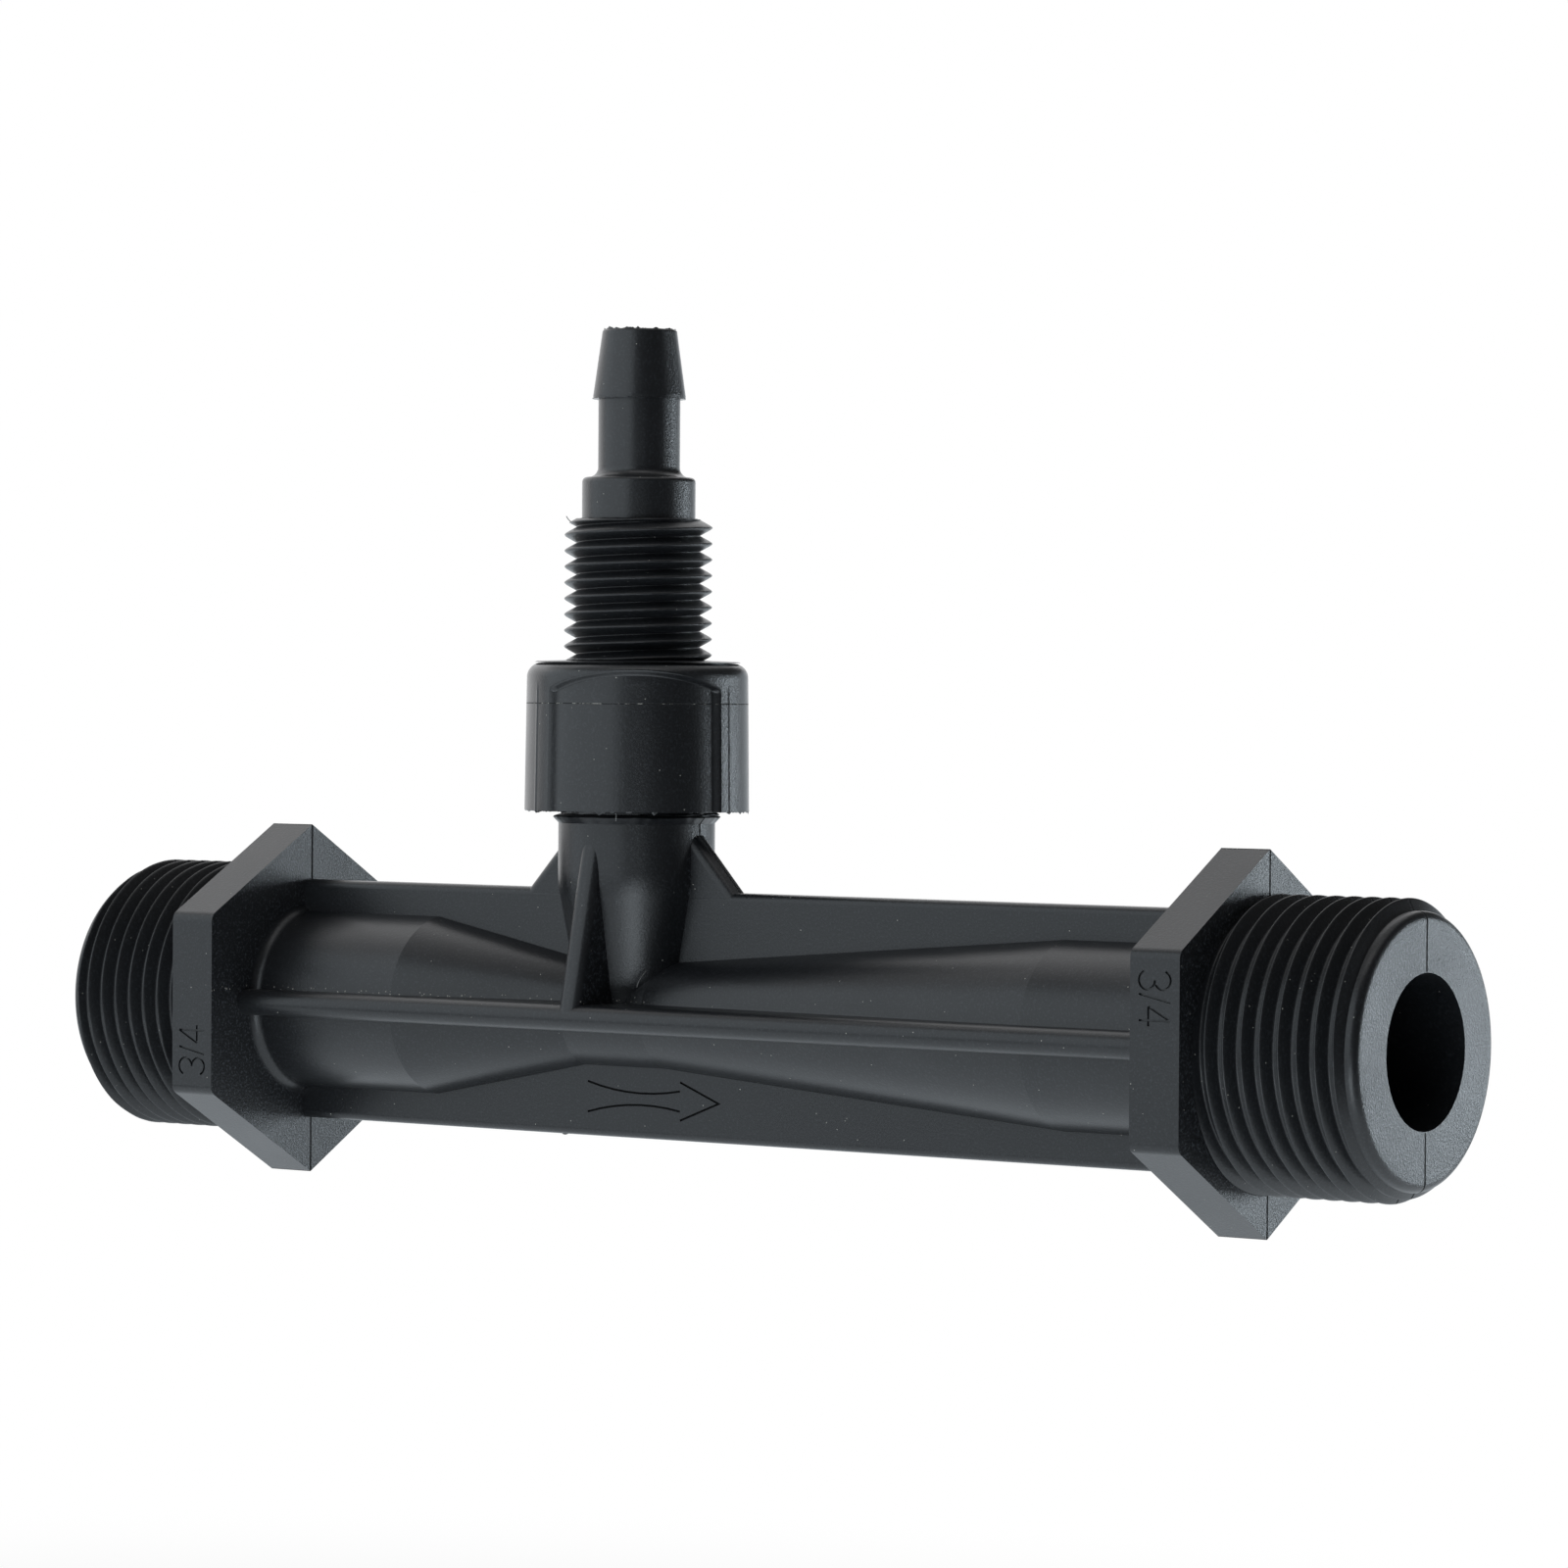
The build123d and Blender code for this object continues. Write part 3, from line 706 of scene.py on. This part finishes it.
def rough_ring(angle):
    """The first thread ring: a thin crest with a ragged rim."""
    way = Vector((math.cos(angle), math.sin(angle), 0.0))
    rag = noise.noise((way + Vector((0, 0, 0.7))) * 9.0) * 0.12 * mm
    lift = noise.noise((way + Vector((0, 0, 4.7))) * 5.0) * 0.07 * mm
    foot = boss_thread_start - lap
    top = boss_thread_start + 0.8 * mm
    inside = 6.9 * mm
    crest = boss_thread_start + first_ring_height + lift
    return [
        (foot, inside), (foot, boss_radius), (crest - 0.10 * mm, boss_crest_radius - 0.08 * mm + rag),
        (crest, boss_crest_radius + rag), (crest + 0.08 * mm, boss_crest_radius - 0.10 * mm + rag),
        (top, boss_root_radius + lap), (top, inside),
    ]


first_ring = turned("boss_first_ring", rough_ring, body_plastic, upright, even_turn(240))
for piece in (boss_thread, first_ring):
    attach(piece, "body")


# The suction cap. One black moulding, screwed onto the boss: a nut with two sunk grip panels
# between two lobes, a threaded nipple for the hose nut, and a barb for the hose. Its bottom edge
# carries a torn flash, and a mould line runs round it just below the panels' upper ends.
cap_low, cap_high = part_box("suction_cap")
cap_bottom = cap_low.z
cap_top = cap_high.z - 31.4 * mm      # the nipple, the shoulder, the neck and the barb stand on it
cap_seam = 29.3 * mm                  # height of the mould line
cap_shoulder = 1.35 * mm              # rounding of the cap's upper rim
skirt_inside = 8.5 * mm               # the skirt is closed inside at this radius
rim_inside = 8.3 * mm                 # and at this one under the upper rim
rim_start = 31.0 * mm
wall_top = 29.0 * mm                  # up to here the rows of points are level all round
row_gap = 0.06 * mm                   # rows this close to the panels' ends keep the ends crisp
nipple_pitch = 1.5 * mm
nipple_crest = 45.75 * mm             # height of one of its crests
nipple_crest_radius = 6.97 * mm
nipple_root_radius = 5.74 * mm
nipple_shank_radius = 5.55 * mm
nipple_flank = math.radians(27.6)
shoulder_bottom = cap_top + 13.5 * mm
lobe_low_radius = 10.60 * mm
lobe_top_radius = 10.42 * mm
lobe_ridge = 0.05 * mm                # a lobe's edge stands up this much
strip_depth = 0.04 * mm               # the strip beside a lobe lies a little lower than the lobe
strip_middle = math.radians(-57.1)
strip_half = math.radians(58.6)
strip_end = (30.2 * mm, 31.6 * mm)    # lobe and strip run together between these heights
lobe_step = (1.0, 1.012)              # the lobe steps up between these shares of the strip's half
ridge_at = 1.006                      # and its edge is highest at this share
ridge_half = 0.05
panel_depth = 0.55 * mm               # from the strip beside a lobe down to the grip panel
panel_foot = 0.917                    # a panel's side has its foot at this share of the half
panel_middle = math.radians(-54.65)
panel_half = math.radians(50.4)
panel_end = 32.2 * mm                 # height of a panel's upper end at its middle
panel_end_fall = 1.7 * mm             # and how much lower that end is beside a lobe
panel_end_slope = 0.30 * mm           # half the height over which a panel ends


def cap_marks(tree, spot):
    """Shares: where the cap's mould line is, and the pale torn crumbs along it."""
    height = add_node(tree, "ShaderNodeSeparateXYZ", None, {0: spot}).outputs["Z"]
    off_line = calc(tree, "ABSOLUTE", calc(tree, "SUBTRACT", height, cap_seam))
    line = soft_fall(tree, off_line, 0.020 * mm, 0.050 * mm)
    torn_share = soft_rise(tree, clouds(tree, spot, 1900.0, 3.0, 0.7), 0.50, 0.66)
    return line, product(tree, line, torn_share)


# Near black: painted shade of the cap's mould line nick, beside its added roughness and relief.
cap_line_shade = (0.003, 0.003, 0.0034, 1)
cap_plastic = black_moulding("black polypropylene, cap", 0.24, cap_marks, cap_line_shade, 0.5, 0.58)
cap_thread_plastic = black_moulding(
    "black polypropylene, nipple thread", 0.30, cap_marks, cap_line_shade, 0.9,
)


def soft_share(low, high, value):
    """How far a value is from low to high, from 0 to 1, with soft ends."""
    share = min(max((value - low) / (high - low), 0.0), 1.0)
    return share * share * (3 - 2 * share)


def off_middle(angle, middle):
    """How far an angle is from a panel's middle, for two panels, one opposite the other."""
    return abs((angle - middle + math.pi / 2) % math.pi - math.pi / 2)


def panel_end_at(angle):
    """The height of the panel's upper end at an angle."""
    return panel_end - panel_end_fall * min(off_middle(angle, panel_middle) / panel_half, 1.05) ** 2


def cap_radius(angle, height):
    """The cap's outside: lobes with raised edges, the strips beside them, and the sunk panels."""
    rise = (height - cap_bottom) / (cap_top - cap_bottom)
    panel_share = off_middle(angle, panel_middle) / panel_half
    strip_share = off_middle(angle, strip_middle) / strip_half
    up_side = min(max((panel_share - panel_foot) / (1 - panel_foot), 0.0), 1.0)
    sunk = panel_depth * (1 - (up_side + soft_share(0.0, 1.0, up_side)) / 2)
    end = panel_end_at(angle)
    below_end = 1 - soft_share(end - panel_end_slope, end + panel_end_slope, height)
    on_lobe = soft_share(*lobe_step, strip_share)
    ridge = lobe_ridge * max(1 - abs(strip_share - ridge_at) / ridge_half, 0.0) ** 2 * on_lobe
    edge = (ridge - strip_depth * (1 - on_lobe)) * (1 - soft_share(*strip_end, height))
    lobe = lobe_low_radius + (lobe_top_radius - lobe_low_radius) * rise
    return lobe - sunk * below_end + edge


def torn(way, coarse, coarse_reach, fine, fine_reach, more=0.0):
    """How far a torn edge reaches out in a direction: coarse tears, and finer ones on them."""
    tears = max(noise.noise(way * coarse) + more, 0.0) * coarse_reach
    return tears + max(noise.noise(way * fine), 0.0) * fine_reach


def cap_skirt(angle):
    """The skirt's section at one angle, from the inside of its torn bottom edge up to its top."""
    way = Vector((math.cos(angle), math.sin(angle), 0.0))
    tear = torn(way, 14.0, 0.42 * mm, 41.0, 0.10 * mm, -0.05)
    wall = cap_radius(angle, cap_bottom)
    points = [(cap_bottom, skirt_inside), (cap_bottom, wall - 0.20 * mm),
              (cap_bottom - tear, wall - 0.07 * mm)]
    end = panel_end_at(angle)
    end_low = end - panel_end_slope - row_gap
    end_high = end + panel_end_slope + row_gap
    heights = [cap_bottom + step * mm for step in (0.04, 0.09, 0.20)]
    heights += [cap_bottom + (wall_top - cap_bottom) * i / 5 for i in range(1, 5)]
    heights += [wall_top + (end_low - wall_top) * i / 4 for i in range(5)]
    heights += [end + panel_end_slope * (i - 5) / 5 for i in range(11)]
    heights += [end_high + (cap_top - end_high) * math.sin(math.radians(5 * i)) for i in range(19)]
    for height in heights:
        into_rim = max(height - (cap_top - cap_shoulder), 0.0) / cap_shoulder
        drop = cap_shoulder * (1 - math.sqrt(max(1 - into_rim * into_rim, 0.0)))
        points.append((height, cap_radius(angle, height) - drop))
    points.append((cap_top, rim_inside))
    return points


# Beside the even turn, angles close together follow the panels' sloping sides, foot to top.
side_shares = (-0.2, 0.0, 0.12, 0.25, 0.5, 0.75, 0.88, 1.0, 1.2)
side_angles = [panel_middle + half_turn + side * panel_half * (panel_foot + share * (1 - panel_foot))
               for half_turn in (0.0, math.pi) for side in (-1, 1) for share in side_shares]
skirt_angles = sorted({round(angle % math.tau, 6) for angle in (*even_turn(600), *side_angles)})
skirt = turned("cap_skirt", cap_skirt, cap_plastic, upright, skirt_angles)
cap = turned_down("suction_cap", "cap_moulding", [
    ("z", suction_axis, cap_bottom - hair_gap, rim_start, skirt_inside + lap),
    ("z", suction_axis, rim_start, cap_top + hair_gap, rim_inside + lap),
    ("z", suction_axis, cap_top + 0.3 * mm, shoulder_bottom - hair_gap, nipple_shank_radius),
], cap_plastic)
nipple_thread = placed(made_by(helical_thread, "nipple_thread", {
    "Pitch": nipple_pitch, "Crest At": nipple_crest - 4 * nipple_pitch,
    "Low": cap_top + 0.25 * mm, "High": shoulder_bottom + 0.1 * mm,
    "Crest Radius": nipple_crest_radius, "Root Radius": nipple_root_radius, "Inner Radius": 5.2 * mm,
    "Crest Rounding": 0.15 * mm, "Flank Slope": math.tan(nipple_flank), "Nick": 0.10 * mm, "Seed": 2,
    "Cone Start": shoulder_bottom - 0.5 * mm, "Cone Slope": 1.8,
    "Turns": 12, "Points Per Turn": 24, "Around": 128, "Material": cap_thread_plastic,
}), upright)
for piece in (cap, skirt, nipple_thread):
    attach(piece, "cap")
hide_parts("suction_cap")


barb_foot = 58.02 * mm                # under the barb's widest edge, where a thin lip is torn
barb_foot_radius = 4.36 * mm
lip_reach = 0.14 * mm
tip_radius = 3.44 * mm


def ragged_lip(angle):
    """A thin torn lip that stands out round the barb's foot."""
    way = Vector((math.cos(angle), math.sin(angle), 1.3))
    rag = torn(way, 6.0, lip_reach, 23.0, lip_reach * 0.6, 0.15)
    inside = barb_foot_radius - 0.25 * mm
    return [(barb_foot - 0.03 * mm, inside), (barb_foot - 0.04 * mm, barb_foot_radius + rag),
            (barb_foot + 0.03 * mm, barb_foot_radius + rag * 0.8), (barb_foot + 0.12 * mm, inside)]


def torn_tip(angle):
    """The barb's end: a torn rim standing up around the bore."""
    way = Vector((math.cos(angle), math.sin(angle), 8.1))
    rag = torn(way, 7.0, 0.30 * mm, 19.0, 0.16 * mm)
    tip = cap_high.z
    return [(tip - 0.1 * mm, 3.05 * mm), (tip - 0.1 * mm, tip_radius),
            (tip + rag, tip_radius - 0.08 * mm), (tip + rag * 0.9, tip_radius - 0.16 * mm)]


barb_lip = turned("barb_lip_flash", ragged_lip, cap_plastic, upright, even_turn(180))
tip_flash = turned("barb_tip_flash", torn_tip, cap_plastic, upright, even_turn(180))
for piece in (barb_lip, tip_flash):
    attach(piece, "cap")


# Whiskers: hair-thin curls of plastic that the mould and the cutting tools left behind, and a nub
# of flash under the lower fin. Pulled thin, the black plastic has turned pale.
def plain_finish(name, dark, light, scale, roughness, metallic, relief):
    """A simple finish: two close colours in a fine grain, with its own roughness and relief."""
    material = bpy.data.materials.new(name)
    material.use_nodes = True
    tree = material.node_tree
    shader = tree.nodes["Principled BSDF"]
    spot = add_node(tree, "ShaderNodeTexCoord").outputs["Object"]
    stretched = add_node(tree, "ShaderNodeMapping", None, {"Vector": spot, "Scale": scale})
    grain = clouds(tree, stretched.outputs[0], 1.0, 3.0, 0.6)
    tree.links.new(blend_colours(tree, grain, dark, light), shader.inputs["Base Color"])
    tree.links.new(calc(tree, "MULTIPLY_ADD", grain, 0.2, roughness), shader.inputs["Roughness"])
    shader.inputs["Metallic"].default_value = metallic
    bump = add_node(tree, "ShaderNodeBump", None, {
        "Strength": relief, "Distance": relief_height, "Height": grain,
    })
    tree.links.new(bump.outputs[0], shader.inputs["Normal"])
    return material


def whisker_tree():
    """Geometry Nodes for one whisker: a thin round hair along a curve through three points."""
    tree, given = new_tree("whisker", {
        "Vector": ("Root", "Middle", "Tip"), "Float": ("Radius",), "Material": ("Material",),
    })
    path = add_node(tree, "GeometryNodeCurveQuadraticBezier", None, {
        "Resolution": 12, "Start": given["Root"], "Middle": given["Middle"], "End": given["Tip"],
    })
    ring = add_node(tree, "GeometryNodeCurvePrimitiveCircle", None, {
        "Resolution": 6, "Radius": given["Radius"],
    })
    hair = add_node(tree, "GeometryNodeCurveToMesh", None, {
        "Curve": path.outputs[0], "Profile Curve": ring.outputs[0], "Fill Caps": True,
    })
    return finish_tree(tree, hair.outputs[0], given["Material"])


whisker = whisker_tree()


def grow_whisker(name, points, radius, material):
    """A whisker along a curve through its root, its bend and its tip, given in millimetres."""
    root, bend, tip = (Vector(point) * mm for point in points)
    return made_by(whisker, name, {
        "Root": root, "Middle": bend, "Tip": tip, "Radius": radius, "Material": material,
    })


def beside_port(right, outward, height):
    """A place on the suction port, in millimetres to the right of its axis and towards the camera."""
    place = Vector((suction_x, 0, 0)) / mm + view_right * right + toward_camera * outward
    return (place.x, place.y, height)


pale_plastic = plain_finish("pulled black plastic", (0.10, 0.10, 0.10, 1), (0.26, 0.26, 0.25, 1),
                            (2500, 2500, 2500), 0.45, 0.0, 0.2)
hair = 0.045 * mm              # a whisker's radius
cap_whiskers = [
    grow_whisker("whisker_thread_start", [
        beside_port(-5.9, 0.4, 46.2), beside_port(-6.5, 0.5, 46.3), beside_port(-6.8, 0.6, 46.9),
    ], hair, pale_plastic),
    grow_whisker("whisker_cap_edge", [
        beside_port(-1.8, 9.1, 19.3), beside_port(-1.6, 9.3, 19.0), beside_port(-1.7, 9.4, 18.4),
    ], hair, pale_plastic),
]
body_whiskers = [
    grow_whisker("whisker_boss_foot", [
        beside_port(1.1, 6.2, 4.3), beside_port(0.5, 7.4, 3.7), beside_port(0.3, 7.6, 2.9),
    ], hair, pale_plastic),
    grow_whisker("nub_lower_fin", [
        (52.4, -0.4, -11.50), (52.8, -0.5, -11.90), (53.3, -0.4, -11.50),
    ], 0.13 * mm, body_plastic),
]
for piece in cap_whiskers:
    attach(piece, "cap")
for piece in body_whiskers:
    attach(piece, "body")


# The check valve inside the boss: a moulded rubber ball on a spring of drawn stainless wire, and
# a flat rubber washer under the cap. They show only when the cap is off.
finishes = {
    "check_ball": plain_finish("moulded rubber, ball", (0.020, 0.021, 0.022, 1), (0.034, 0.035, 0.037, 1),
                               (900, 900, 900), 0.45, 0.0, 0.2),
    "valve_spring": plain_finish("drawn stainless wire", (0.42, 0.41, 0.40, 1), (0.60, 0.59, 0.58, 1),
                                 (700, 700, 5000), 0.18, 1.0, 0.15),
    "seal_ring": plain_finish("cut rubber sheet", (0.016, 0.016, 0.017, 1), (0.030, 0.030, 0.031, 1),
                              (1500, 1500, 1500), 0.60, 0.0, 0.4),
}
for name, finish in finishes.items():
    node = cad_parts[name]
    node.data.materials.clear()
    node.data.materials.append(finish)

spring = turned_down("valve_spring", "spring_wire", [], finishes["valve_spring"])
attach(spring, "body")
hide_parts("valve_spring")
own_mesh(spring)
